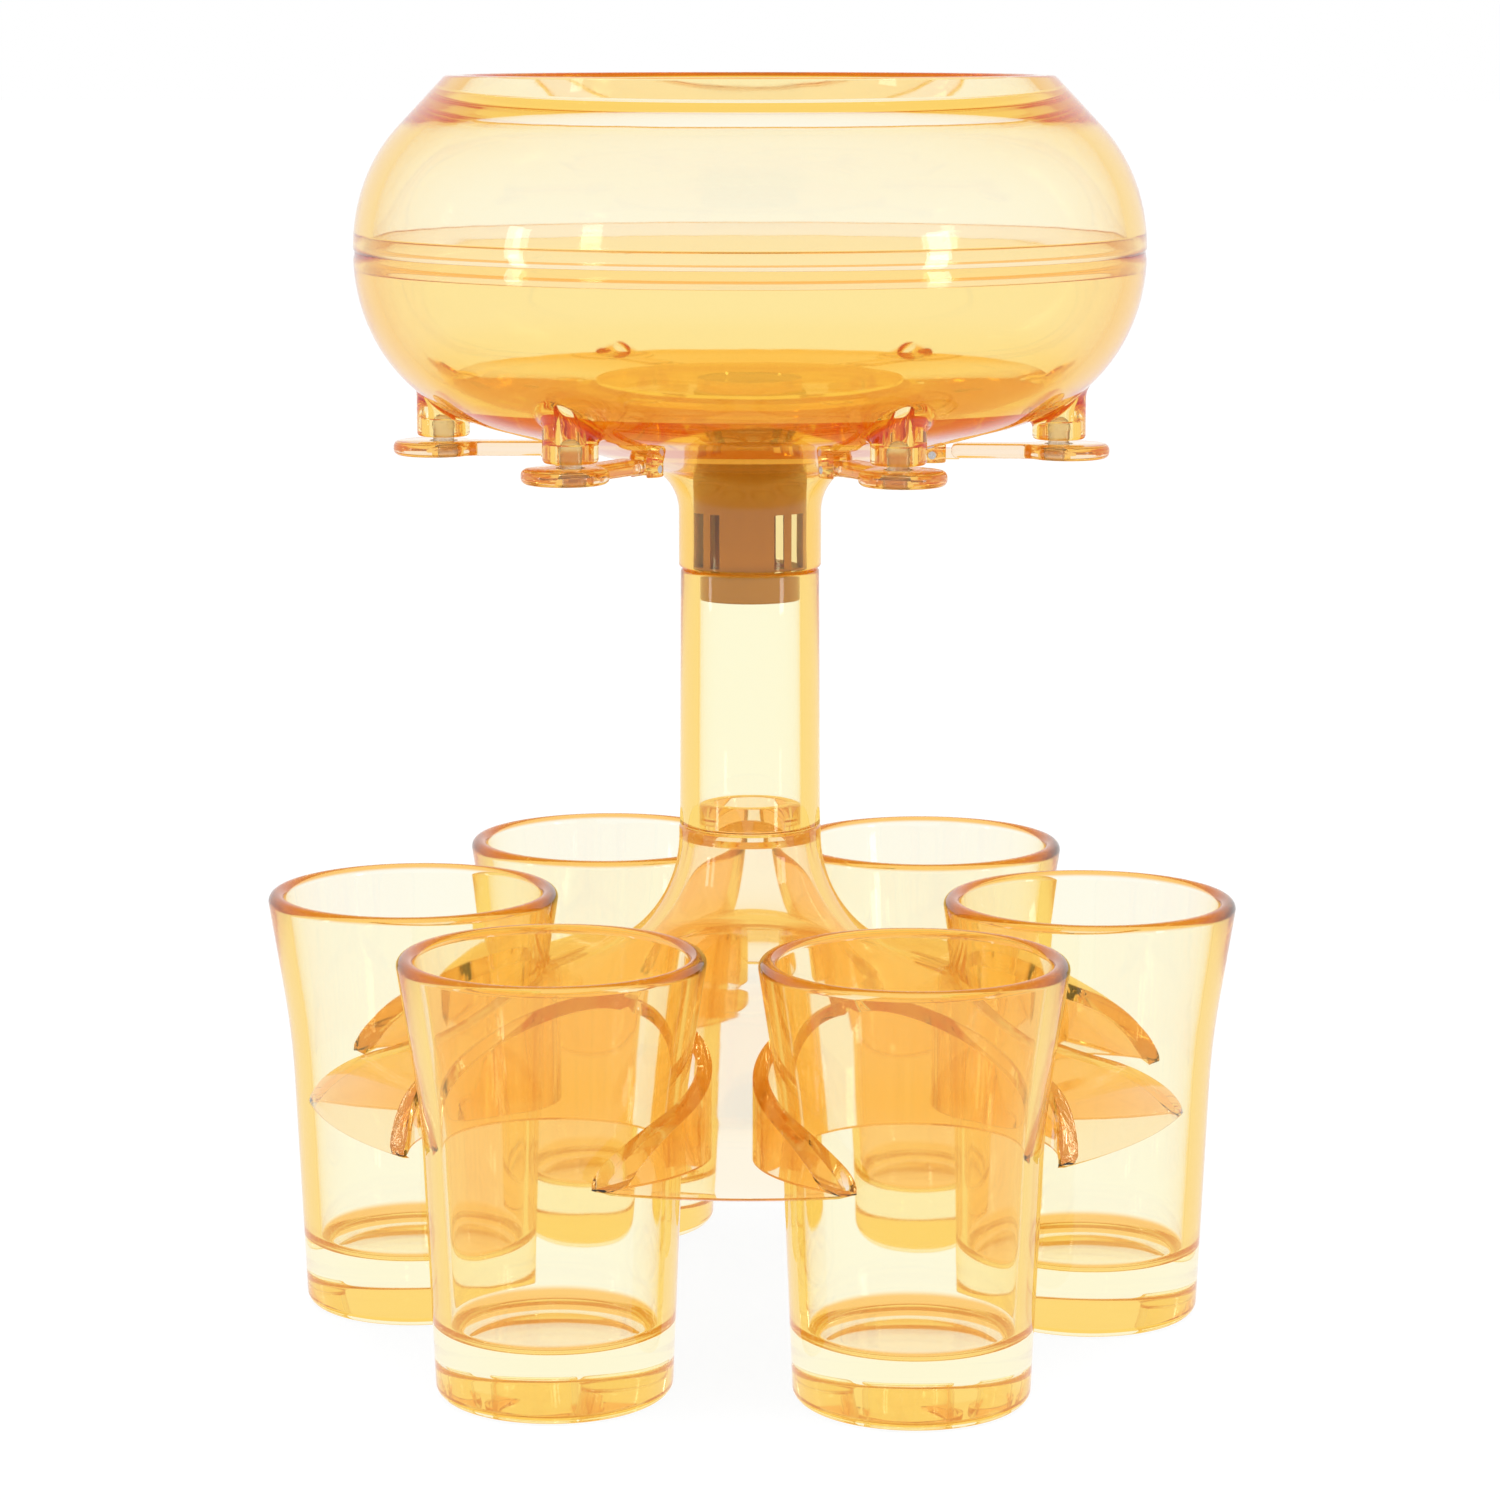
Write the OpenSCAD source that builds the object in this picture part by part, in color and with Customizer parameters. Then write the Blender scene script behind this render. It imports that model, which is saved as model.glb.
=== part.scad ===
// Party shot dispenser: a bowl on a stem, with plugged spouts that stand over shot cups.
// Sizes are in millimetres and +Z is up. The origin is on the stem's centre line, at the
// height of the surface that the cups stand on.

/* [Layout] */
// Distance from the centre line to the middle of each cup
cup_ring_r = 52.6; // [51.4:0.1:54]

/* [Cups] */
// Height of a cup
cup_h = 65.6; // [60:0.2:72]
// Outer radius of a cup at its foot
cup_foot_r = 17.45; // [16.5:0.05:18]
// Draft of a cup's straight lower wall, in degrees
cup_draft = 2.4; // [1:0.1:3]
// Height at which a cup starts to flare
cup_flare_z = 36; // [30:0.5:38]
// Height over which the wall bends out
cup_flare_len = 14; // [8:0.5:16]
// Slope of the flared wall, in degrees
cup_flare = 8.8; // [7:0.1:10]
// Thickness of a cup's wall
cup_wall = 2.7; // [1.8:0.1:3.2]
// Thickness of a cup's solid base
cup_base = 10; // [6:0.2:14]
// Radius of the fillet inside a cup, between floor and wall
cup_fillet = 2.2; // [1:0.1:4]
// Radius of the rounded edge round a cup's foot
cup_foot_round = 1.7; // [0.5:0.1:2]
// Radius of the shallow recess under a cup
cup_recess_r = 13.4; // [10:0.1:14.5]
// Depth of the recess under a cup
cup_recess_d = 0.8; // [0.3:0.1:2]

/* [Cup holder] */
// Radius of the holder's rim
rim_r = 69; // [67.5:0.1:71]
// Height of the holder's rim above the table
rim_z = 36; // [33:0.5:38]
// Radius of the hub's top
hub_r = 10.95; // [10.9:0.05:12]
// Height of the hub's top above the table
hub_top_z = 76.7; // [75:0.1:80]
// Straight length at the top of the hub
hub_land = 1.6; // [1:0.1:2.5]
// Radius of the hollow sweep from hub to skirt
hub_sweep_r = 20; // [18:0.5:22]
// Slope of the skirt, in degrees
skirt_slope = 17.8; // [16.5:0.1:19]
// Radius of the rounded outer edge of the skirt
skirt_edge_r = 16.5; // [14:0.5:18]
// Thickness of the holder's shell
holder_wall = 2.2; // [1.6:0.1:2.6]
// Thickness of the walls round the cup notches
notch_wall = 2.3; // [1.6:0.1:2.6]
// Gap between a cup's flare and the edge of its notch
cup_gap = 0.3; // [0.2:0.05:0.6]
// Thickness of the plate that closes the hub's top
hub_plate = 2.2; // [1.6:0.1:3]
// Height of the spigot that carries the stem tube
hub_spigot_h = 3.8; // [3:0.1:8]
// Thickness of the spigot's wall
hub_spigot_wall = 1.9; // [1.2:0.1:2.5]

/* [Stem] */
// Length of the stem tube
stem_len = 39.8; // [34:0.2:60]
// Outer radius of the tube at its top
stem_top_r = 10.62; // [10.4:0.02:10.8]
// Outer radius of the tube at its foot
stem_foot_r = 10.85; // [10.6:0.05:10.9]
// Radius of the tube's bore
stem_bore_r = 7.8; // [7.2:0.1:8.1]
// Gap all round between the hub's spigot and the bore
hub_spigot_gap = 0.05; // [0.02:0.01:0.1]

/* [Bowl] */
// Largest radius of the bowl, at its seam
bowl_r = 59.9; // [59:0.1:61]
// Half width of the bowl's round section
bowl_round_w = 27.3; // [26.5:0.1:28]
// Half height of the bowl's round section
bowl_round_h = 27; // [26:0.1:28]
// Exponent of the round section: 2 is an ellipse, more is squarer
bowl_round_p = 2.1; // [2:0.02:2.2]
// Height of the seam above the foot of the neck
seam_h = 48.2; // [47.4:0.1:54]
// Height of the bowl's rim above the seam
bowl_rim_h = 26.2; // [24:0.1:28]
// Outer radius of the bowl's rim
bowl_rim_r = 45.8; // [44:0.1:47]
// Width of the flat face on the rim
bowl_rim_face = 3.9; // [3:0.1:4.2]
// Depth of the thick lip inside the rim
lip_h = 4.8; // [3:0.1:6]
// Draft of the lip's inner face, in degrees
lip_draft = 25; // [18:1:28]
// Thickness of the bowl's wall
bowl_wall = 2.9; // [2.4:0.1:3.3]
// Depth of the bowl's flat floor below the seam
floor_drop = 20.6; // [19:0.1:21]
// Thickness of the floor over the neck
floor_t = 3.6; // [2.6:0.1:4]
// Slope of the bowl's underside towards the neck, in degrees
underside_slope = 15; // [13:0.5:17]
// Outer radius of the neck
neck_r = 10.9; // [10.8:0.05:11.4]
// Radius of the fillet between neck and underside
neck_fillet = 7.5; // [6:0.1:8.5]
// Radius of the hollow under the floor
hollow_r = 23.5; // [20:0.1:24.5]
// Gap between the foot of the neck and the stem
neck_gap = 0.3; // [0.2:0.05:0.6]

/* [Seam band] */
// Height of the band inside the seam
band_h = 5.1; // [3:0.1:7]
// Thickness of the band
band_t = 1.4; // [1:0.05:1.6]
// Gap between the band and its grooves
band_gap = 0.04; // [0.02:0.01:0.1]

/* [Neck connector] */
// Radius of the connector's sleeve
sleeve_r = 8.65; // [8.5:0.05:8.8]
// Gap all round on which the neck turns on the sleeve
turn_gap = 0.08; // [0.04:0.01:0.1]
// Length of the sleeve
sleeve_len = 22.1; // [18:0.1:22.6]
// Gap all round between the connector's spigot and the stem's bore
spigot_gap = 0.06; // [0.03:0.01:0.1]
// Length of the connector's spigot
spigot_len = 4.6; // [3:0.1:12]
// Radius of the connector's bore
connector_bore_r = 5.6; // [4.5:0.1:6]
// Thickness of the connector's closed end
connector_end = 2.6; // [1.5:0.1:4]
// Height of the connector's vertical slots
slot_h = 8.3; // [5:0.1:10]
// Height of the first slot's foot above the stem
slot_foot = 0.8; // [0.5:0.1:2]
// Width of the inner slots
slot_inner_w = 1.3; // [0.8:0.1:1.4]
// Distance of the inner slots from the middle
slot_inner_x = 4.5; // [4.2:0.1:4.6]
// Width of the outer slots
slot_outer_w = 1.4; // [0.8:0.1:1.5]
// Distance of the outer slots from the middle
slot_outer_x = 6.8; // [6.6:0.1:7]

/* [Spouts and plugs] */
// Distance from the bowl's widest place in to the middle of each spout
spout_inset = 12.9; // [11.9:0.1:13.9]
// Outer radius of a spout
spout_r = 4.05; // [3.8:0.05:4.5]
// Depth of the spouts' ends below the seam
spout_drop = 28.4; // [28:0.1:29]
// Radius of a spout's bore
spout_bore_r = 2.2; // [2.15:0.01:2.4]
// Radius of the port from the bowl into a spout
port_r = 1.5; // [1.2:0.05:1.55]
// Height of the valve seat above the spout's end
seat_h = 2.75; // [2.7:0.01:3]
// Radius of the plug's head
plug_head_r = 1.75; // [1.6:0.01:1.76]
// Height of the plug's top above the spout's end
plug_rise = 3.5; // [3:0.05:3.5]
// Radius of the plug's waist and neck
plug_neck_r = 1.6; // [1.3:0.05:1.7]
// Radius of the plug's two buttons
plug_button_r = 2.15; // [1.9:0.05:2.4]
// Depth of the plug's buttons in the lever
plug_button_h = 0.7; // [0.5:0.05:0.8]
// Gap between the plug and its hole in the lever
plug_gap = 0.03; // [0.02:0.01:0.08]

/* [Levers] */
// Thickness of a lever
lever_t = 2.2; // [2:0.05:2.4]
// Gap between a closed lever and the spout's end
lever_gap = 0.7; // [0.5:0.05:1]
// Radius of a lever's round paddle
paddle_r = 6.4; // [5.5:0.1:7.5]
// Distance of the paddle's middle beyond the spout's
paddle_shift = 1.3; // [0:0.1:2]
// Radius of the paddle's rounded edge
paddle_round = 0.9; // [0.4:0.05:1]
// Width of a lever's arm
arm_w = 5; // [4:0.1:6]
// Distance from a spout's middle in to its lever's hinge pin
lever_reach = 19.2; // [18.4:0.1:20]
// Depth of the hinge pins' centre below the lever's upper face
pin_drop = 1.7; // [1.6:0.05:1.9]
// Radius of a hinge pin
pin_r = 0.6; // [0.5:0.05:0.7]
// Gap all round between a lever and its pin
pin_gap = 0.06; // [0.03:0.01:0.1]
// Gap all round between a pin and the boss that holds it
pin_fit = 0.02; // [0.01:0.01:0.05]
// Radius of the lever's round knuckle
knuckle_r = 1; // [0.9:0.02:1.1]
// Width of the knuckle between the cheeks of the boss
knuckle_w = 2.4; // [1.8:0.1:2.6]
// Gap between the knuckle and the boss, all round
knuckle_gap = 0.2; // [0.1:0.05:0.3]
// Radius of a hinge boss
boss_r = 2.5; // [2.3:0.05:2.8]

/* [Hidden] */
COUNT = 6;              // spouts, levers and cups
STEP = 360 / COUNT;     // angle between neighbours
FIRST = STEP / 2;       // the first cup stands this far round from the front
STATIONS = [1:COUNT];

$fn = 96;
EPS = 0.01;             // overlap of solids that are one piece
CUT = 1;                // how far a cutting tool runs past a face
ARC = 6;                // degrees between points on rounded outlines

AMBER = [1, 0.78, 0.45];
BROWN = [0.72, 0.47, 0.2];
WHITE = [0.95, 0.93, 0.9];
STEEL = [0.75, 0.75, 0.76];

// ---- rings that follow from the bowl
spout_ring_r = bowl_r - spout_inset;
hinge_ring_r = spout_ring_r - lever_reach;

// ---- heights that follow from the stack of pieces
stem_z = hub_top_z;
neck_z = stem_z + stem_len;              // stem's top, where the connector's shoulder sits
neck_foot_z = neck_z + neck_gap;
seam_z = neck_foot_z + seam_h;
bowl_rim_z = seam_z + bowl_rim_h;
floor_z = seam_z - floor_drop;
spout_z = seam_z - spout_drop;
lever_top_z = spout_z - lever_gap;
lever_z = lever_top_z - lever_t;
pin_z = lever_top_z - pin_drop;
sleeve_top_z = neck_z + sleeve_len;

// ---- small outline helpers: every outline is a list of [radius, height]
function steps(a, b, n) = [for (i = [0:n]) a + (b - a) * i / n];
function arc(c, r, a, b) =
    let (n = max(2, ceil(abs(b - a) / ARC)))
    [for (t = steps(a, b, n)) [c[0] + r * cos(t), c[1] + r * sin(t)]];

// Places a piece at station k, with its +X axis pointing outwards
module station(k) {
    rotate([0, 0, -90 - FIRST + STEP * (k - 1)]) children();
}

// ---- cup
cup_slope = tan(cup_draft);
cup_flare_slope = tan(cup_flare) - cup_slope;
cup_lip = cup_wall / 2;

// Outer radius of a cup at height z: a drafted wall that bends out and runs on straight
function cup_flare_out(z) =
    z < cup_flare_z ? 0
    : z < cup_flare_z + cup_flare_len
        ? cup_flare_slope * (z - cup_flare_z) ^ 2 / (2 * cup_flare_len)
        : cup_flare_slope * (z - cup_flare_z - cup_flare_len / 2);
function cup_out(z) = cup_foot_r + cup_slope * z + cup_flare_out(z);
function cup_in(z) = cup_out(z) - cup_wall;
cup_lip_z = cup_h - cup_lip;
cup_levels = concat([cup_flare_z], steps(cup_flare_z, cup_flare_z + cup_flare_len, 7));

module cup() {
    fillet_z = cup_base + cup_fillet;
    outline = concat(
        [[0, cup_recess_d], [cup_recess_r, cup_recess_d], [cup_recess_r, 0]],
        arc([cup_out(cup_foot_round) - cup_foot_round, cup_foot_round], cup_foot_round, -90, 0),
        [for (z = cup_levels) [cup_out(z), z]],
        arc([cup_out(cup_lip_z) - cup_lip, cup_lip_z], cup_lip, 0, 180),
        [for (i = [len(cup_levels) - 1:-1:0]) [cup_in(cup_levels[i]), cup_levels[i]]],
        arc([cup_in(fillet_z) - cup_fillet, fillet_z], cup_fillet, 0, -90),
        [[0, cup_base]]);
    color(AMBER)
    translate([cup_ring_r, 0, 0])
    rotate_extrude() polygon(outline);
}

// ---- cup holder: a trumpet-shaped shell, revolved, with a notch for each cup
sweep_c = [hub_r + hub_sweep_r, hub_top_z - hub_land];
skirt_dir = [cos(skirt_slope), -sin(skirt_slope)];
skirt_up = [sin(skirt_slope), cos(skirt_slope)];
skirt_start = sweep_c - hub_sweep_r * skirt_up;
// The rounded edge touches the skirt's line and ends on the rim
edge_q = skirt_start - skirt_edge_r * skirt_up - [rim_r, rim_z];
edge_qd = edge_q * skirt_dir;
edge_run = -edge_qd - sqrt(edge_qd ^ 2 - edge_q * edge_q + skirt_edge_r ^ 2);
edge_c = skirt_start - skirt_edge_r * skirt_up + edge_run * skirt_dir;
edge_end = asin((rim_z - edge_c[1]) / skirt_edge_r);

function skirt_z(r) = skirt_start[1] - (r - skirt_start[0]) * tan(skirt_slope);
// A cup's flare meets the notch where the skirt's surface is highest
notch_seat_z = skirt_z(cup_ring_r - cup_out(cup_flare_z + cup_flare_len));
notch_r = cup_out(notch_seat_z) + cup_gap;

// Outline of the trumpet's surface, moved inwards by t, from its top down to the rim
function trumpet(t, top_z) =
    let (sweep = hub_sweep_r + t, edge = skirt_edge_r - t)
    concat(
        [[hub_r - t, top_z]],
        arc(sweep_c, sweep, 180 + max(0, asin((sweep_c[1] - top_z) / sweep)), 270 - skirt_slope),
        arc(edge_c, edge, 90 - skirt_slope, asin((rim_z - edge_c[1]) / edge)));

module notches(r, foot, top) {
    for (k = STATIONS)
        station(k) translate([cup_ring_r, 0, foot]) cylinder(h = top - foot, r = r);
}

module trumpet_body() {
    rotate_extrude()
        polygon(concat([[0, rim_z], [0, hub_top_z]], trumpet(0, hub_top_z)));
}

module trumpet_hollow() {
    plate_z = hub_top_z - hub_plate;
    inner = trumpet(holder_wall, plate_z);
    last = inner[len(inner) - 1];
    rotate_extrude()
        polygon(concat([[0, rim_z - CUT], [0, plate_z]],
                       [for (i = [1:len(inner) - 1]) inner[i]],
                       [[last[0], rim_z - CUT]]));
}

module cup_holder() {
    spigot_r = stem_bore_r - hub_spigot_gap;
    color(AMBER)
    difference() {
        union() {
            difference() {
                trumpet_body();
                trumpet_hollow();
            }
            intersection() {
                trumpet_body();
                notches(notch_r + notch_wall, rim_z - CUT, hub_top_z);
            }
            translate([0, 0, hub_top_z - EPS])
                cylinder(h = hub_spigot_h + EPS, r = spigot_r);
        }
        notches(notch_r, rim_z - 2 * CUT, hub_top_z + CUT);
        translate([0, 0, hub_top_z - hub_plate - CUT])
            cylinder(h = hub_plate + hub_spigot_h + 2 * CUT, r = spigot_r - hub_spigot_wall);
    }
}

// ---- stem
module stem_tube() {
    color(AMBER)
    translate([0, 0, stem_z])
    difference() {
        cylinder(h = stem_len, r1 = stem_foot_r, r2 = stem_top_r);
        translate([0, 0, -CUT]) cylinder(h = stem_len + 2 * CUT, r = stem_bore_r);
    }
}

// ---- connector: a closed sleeve in the bowl's neck, with a spigot down into the stem
module connector_slots(x, w) {
    for (side = [-1, 1])
        translate([side * x - w / 2, -sleeve_r - CUT, neck_z + slot_foot])
            cube([w, 2 * (sleeve_r + CUT), slot_h]);
}

module neck_connector() {
    color(BROWN)
    difference() {
        union() {
            translate([0, 0, neck_z]) cylinder(h = sleeve_len, r = sleeve_r);
            translate([0, 0, neck_z - spigot_len])
                cylinder(h = spigot_len + EPS, r = stem_bore_r - spigot_gap);
        }
        translate([0, 0, neck_z - spigot_len - CUT])
            cylinder(h = spigot_len + CUT + sleeve_len - connector_end, r = connector_bore_r);
        connector_slots(slot_inner_x, slot_inner_w);
        connector_slots(slot_outer_x, slot_outer_w);
    }
}

// ---- bowl: a squarish round section, revolved, in two shells that meet at the seam
round_c_r = bowl_r - bowl_round_w;
SHOULDER = 45;          // where the round section runs into the straight cone at the rim
LIP_TURN = 58;          // where the lip runs into the inner wall

function power(x) = x < 0 ? -abs(x) ^ (2 / bowl_round_p) : x ^ (2 / bowl_round_p);
// Point of the round section at angle t, on the surface moved inwards by d
function section(t, d) =
    [round_c_r + (bowl_round_w - d) * power(cos(t)), seam_z + (bowl_round_h - d) * power(sin(t))];
function section_arc(a, b, d) =
    [for (t = steps(a, b, ceil(abs(b - a) / ARC))) section(t, d)];
// Angle at which the round section, moved inwards by d, is at height z
function section_angle(z, d) =
    let (s = (z - seam_z) / (bowl_round_h - d))
    sign(s) * asin(abs(s) ^ (bowl_round_p / 2));

UNDERSIDE = -75;        // where the round section runs into the sloping underside
under_start = section(UNDERSIDE, 0);
fillet_end_r = neck_r + neck_fillet * (1 - sin(underside_slope));
fillet_end_z = under_start[1] - (under_start[0] - fillet_end_r) * tan(underside_slope);
fillet_c = [neck_r + neck_fillet, fillet_end_z - neck_fillet * cos(underside_slope)];

neck_bore_r = sleeve_r + turn_gap;
neck_wall = neck_r - neck_bore_r;
hollow_top_z = floor_z - floor_t;
hollow_start = fillet_c + (neck_fillet + neck_wall) * [-sin(underside_slope), cos(underside_slope)];
hollow_edge_z = hollow_start[1] + (hollow_r - hollow_start[0]) * tan(underside_slope);
rest_boss_r = sleeve_r - 0.6;            // boss of the floor that rests on the connector

band_in_r = round_c_r + bowl_round_w - bowl_wall;
groove_r = band_in_r + band_t + band_gap;
groove_h = band_h / 2 + band_gap;

module bowl_upper_shell() {
    lip_r = bowl_rim_r - bowl_rim_face;
    groove_z = seam_z + groove_h;
    outline = concat(
        [[groove_r, seam_z]],
        section_arc(0, SHOULDER, 0),
        [[bowl_rim_r, bowl_rim_z], [lip_r, bowl_rim_z]],
        [[lip_r + lip_h * tan(lip_draft), bowl_rim_z - lip_h]],
        section_arc(LIP_TURN, section_angle(groove_z, bowl_wall), bowl_wall),
        [[groove_r, groove_z]]);
    color(AMBER) rotate_extrude() polygon(outline);
}

module bowl_joint_ring() {
    color(AMBER)
    translate([0, 0, seam_z - band_h / 2])
    difference() {
        cylinder(h = band_h, r = band_in_r + band_t);
        translate([0, 0, -CUT]) cylinder(h = band_h + 2 * CUT, r = band_in_r);
    }
}

// Outline of the lower shell's outside, from the seam down to the foot of the neck
lower_outside = concat(
    section_arc(0, UNDERSIDE, 0),
    arc(fillet_c, neck_fillet, 90 + underside_slope, 180),
    [[neck_r, neck_foot_z]]);

module lower_body() {
    rotate_extrude() polygon(concat([[0, neck_foot_z], [0, seam_z]], lower_outside));
}

// The drink's side of the lower shell, with the groove for the band
module lower_inside() {
    groove_z = seam_z - groove_h;
    rotate_extrude()
        polygon(concat(
            [[0, floor_z]],
            section_arc(section_angle(floor_z, bowl_wall), section_angle(groove_z, bowl_wall),
                        bowl_wall),
            [[groove_r, groove_z], [groove_r, seam_z + CUT], [0, seam_z + CUT]]));
}

// The neck's side of the lower shell: a bore that widens under the floor
module neck_inside() {
    rotate_extrude()
        polygon(concat(
            [[0, neck_foot_z - CUT], [neck_bore_r, neck_foot_z - CUT]],
            arc(fillet_c, neck_fillet + neck_wall, 180, 90 + underside_slope),
            [[hollow_r, hollow_edge_z], [hollow_r, hollow_top_z],
             [rest_boss_r, hollow_top_z], [rest_boss_r, sleeve_top_z], [0, sleeve_top_z]]));
}

// A hinge boss, open towards the paddle, with cheeks on both sides of the knuckle
module hinge_boss() {
    slot_w = knuckle_w + 2 * knuckle_gap;
    foot_z = pin_z - pin_r - pin_fit - 0.6;
    top_z = under_start[1] - (under_start[0] - hinge_ring_r) * tan(underside_slope);
    translate([hinge_ring_r, 0, 0])
    difference() {
        translate([0, 0, foot_z]) cylinder(h = top_z + 1 - foot_z, r = boss_r, $fn = 48);
        translate([-knuckle_r - knuckle_gap, -slot_w / 2, foot_z - CUT])
            cube([2 * boss_r + CUT, slot_w, top_z - foot_z + 3 * CUT]);
        translate([0, 0, pin_z])
        rotate([90, 0, 0])
            cylinder(h = 2 * boss_r + CUT, r = pin_r + pin_fit, center = true, $fn = 32);
    }
}

module bowl_lower_shell() {
    color(AMBER)
    difference() {
        union() {
            lower_body();
            for (k = STATIONS) station(k) {
                hinge_boss();
                translate([spout_ring_r, 0, spout_z])
                    cylinder(h = floor_z - spout_z, r = spout_r, $fn = 48);
            }
        }
        lower_inside();
        neck_inside();
        for (k = STATIONS) station(k) translate([spout_ring_r, 0, spout_z]) {
            translate([0, 0, -CUT]) cylinder(h = seat_h + CUT, r = spout_bore_r, $fn = 48);
            cylinder(h = floor_z - spout_z + 2 * CUT, r = port_r, $fn = 48);
        }
    }
}

// ---- hinge pins, one for each lever
module hinge_pins() {
    color(STEEL)
    for (k = STATIONS)
        station(k) translate([hinge_ring_r, 0, pin_z]) rotate([90, 0, 0])
            cylinder(h = 2 * boss_r - 0.2, r = pin_r, center = true, $fn = 32);
}

// ---- lever: a round paddle under the spout, on an arm that narrows to its knuckle
paddle_x = spout_ring_r + paddle_shift;

module paddle() {
    e = paddle_round;
    translate([paddle_x, 0, 0])
    rotate_extrude()
        polygon(concat(
            [[0, lever_z]],
            arc([paddle_r - e, lever_z + e], e, -90, 0),
            arc([paddle_r - e, lever_top_z - e], e, 0, 90),
            [[0, lever_top_z]]));
}

// A strip of the arm, drawn from the side as [distance, height]
module arm_strip(outline, w) {
    rotate([90, 0, 0])
    translate([0, 0, -w / 2])
    linear_extrude(w) polygon(outline);
}

module lever() {
    neck_x = hinge_ring_r + boss_r + 0.4;      // the arm is wide from here on
    full_x = neck_x + 2.5;                     // and reaches its full height here
    knuckle_top = pin_z + knuckle_r;
    knuckle_foot = pin_z - knuckle_r;
    mid_top = (knuckle_top + lever_top_z) / 2;
    button_r = plug_button_r + plug_gap;
    color(AMBER)
    difference() {
        union() {
            paddle();
            arm_strip([[neck_x, lever_z], [paddle_x, lever_z], [paddle_x, lever_top_z],
                       [full_x, lever_top_z], [neck_x, mid_top]], arm_w);
            arm_strip([[hinge_ring_r, knuckle_foot], [neck_x, lever_z], [neck_x + 1, lever_z],
                       [neck_x + 1, mid_top], [neck_x, mid_top], [hinge_ring_r, knuckle_top]],
                      knuckle_w);
            translate([hinge_ring_r, 0, pin_z]) rotate([90, 0, 0])
                cylinder(h = knuckle_w, r = knuckle_r, center = true, $fn = 48);
        }
        translate([hinge_ring_r, 0, pin_z]) rotate([90, 0, 0])
            cylinder(h = knuckle_w + CUT, r = pin_r + pin_gap, center = true, $fn = 32);
        translate([spout_ring_r, 0, lever_z]) {
            translate([0, 0, -CUT]) cylinder(h = lever_t + 2 * CUT, r = plug_neck_r + plug_gap);
            translate([0, 0, -CUT]) cylinder(h = plug_button_h + CUT, r = button_r);
            translate([0, 0, lever_t - plug_button_h]) cylinder(h = plug_button_h + CUT, r = button_r);
        }
    }
}

// ---- plug: two buttons that clip into the lever, and a round head that closes the port
module plug() {
    head_z = spout_z + plug_rise - plug_head_r;
    lower_button_z = lever_z + plug_button_h - plug_gap;
    upper_button_z = lever_top_z - plug_button_h + plug_gap;
    outline = concat(
        [[0, lever_z], [plug_button_r, lever_z], [plug_button_r, lower_button_z],
         [plug_neck_r, lower_button_z], [plug_neck_r, upper_button_z],
         [plug_button_r, upper_button_z], [plug_button_r, lever_top_z],
         [plug_neck_r, lever_top_z]],
        arc([0, head_z], plug_head_r, -acos(plug_neck_r / plug_head_r), 90));
    color(WHITE)
    translate([spout_ring_r, 0, 0])
    rotate_extrude() polygon(outline);
}

cup_holder();
stem_tube();
neck_connector();
bowl_lower_shell();
bowl_upper_shell();
bowl_joint_ring();
hinge_pins();
for (k = STATIONS) {
    station(k) lever();
    station(k) plug();
    station(k) cup();
}
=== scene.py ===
"""Looks of a party shot dispenser: a clear amber bowl on a stem, over six shot cups.

Sizes in this script are in millimetres, as in the part's source, and are turned into
metres where a mesh is made. +Z is up, and the origin is on the stem's centre line.
"""

import math

import bmesh
import bpy
from mathutils import Matrix, Vector


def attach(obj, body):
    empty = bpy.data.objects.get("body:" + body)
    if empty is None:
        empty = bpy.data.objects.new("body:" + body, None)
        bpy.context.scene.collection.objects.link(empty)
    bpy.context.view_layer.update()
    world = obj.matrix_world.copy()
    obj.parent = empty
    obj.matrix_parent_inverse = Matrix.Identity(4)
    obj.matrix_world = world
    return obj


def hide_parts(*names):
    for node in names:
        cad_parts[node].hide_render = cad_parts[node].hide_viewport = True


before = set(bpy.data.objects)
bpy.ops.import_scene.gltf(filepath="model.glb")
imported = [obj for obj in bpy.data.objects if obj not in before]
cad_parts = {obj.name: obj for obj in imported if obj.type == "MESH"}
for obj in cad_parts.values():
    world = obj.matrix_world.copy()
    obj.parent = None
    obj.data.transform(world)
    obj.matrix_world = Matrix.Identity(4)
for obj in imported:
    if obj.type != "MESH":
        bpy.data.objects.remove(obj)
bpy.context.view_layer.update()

MM = 0.001
STATIONS = range(1, 7)
STATION_STEP = 60
FIRST_STATION = -120        # degrees from +X to the middle of the first cup

# ---- sizes of the pieces, the same as in the part's source
CUP_RING_R = 52.6
CUP_H = 65.6
CUP_FOOT_R = 17.45
CUP_DRAFT = 2.4
CUP_FLARE_Z = 36.0
CUP_FLARE_LEN = 14.0
CUP_FLARE = 8.8
CUP_WALL = 2.7
CUP_BASE = 10.0
CUP_FILLET = 2.2
CUP_FOOT_ROUND = 1.7
CUP_RECESS_R = 13.4
CUP_RECESS_D = 0.8

RIM_R = 69.0
RIM_Z = 36.0
HUB_R = 10.95
HUB_TOP_Z = 76.7
HUB_LAND = 1.6
HUB_CHAMFER = 0.3
HUB_SWEEP_R = 20.0
SKIRT_SLOPE = 17.8
SKIRT_EDGE_R = 16.5
HOLDER_WALL = 2.2
NOTCH_R = 21.15
LOBE_ROUND = 2.4            # the lobes' corners are rounded in plan
LOBE_EDGE = 0.45
SPIGOT_R = 7.75
SPIGOT_H = 3.8

STEM_LEN = 39.8
STEM_TOP_R = 10.62
STEM_FOOT_R = 10.85
STEM_BORE_R = 7.8

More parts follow.
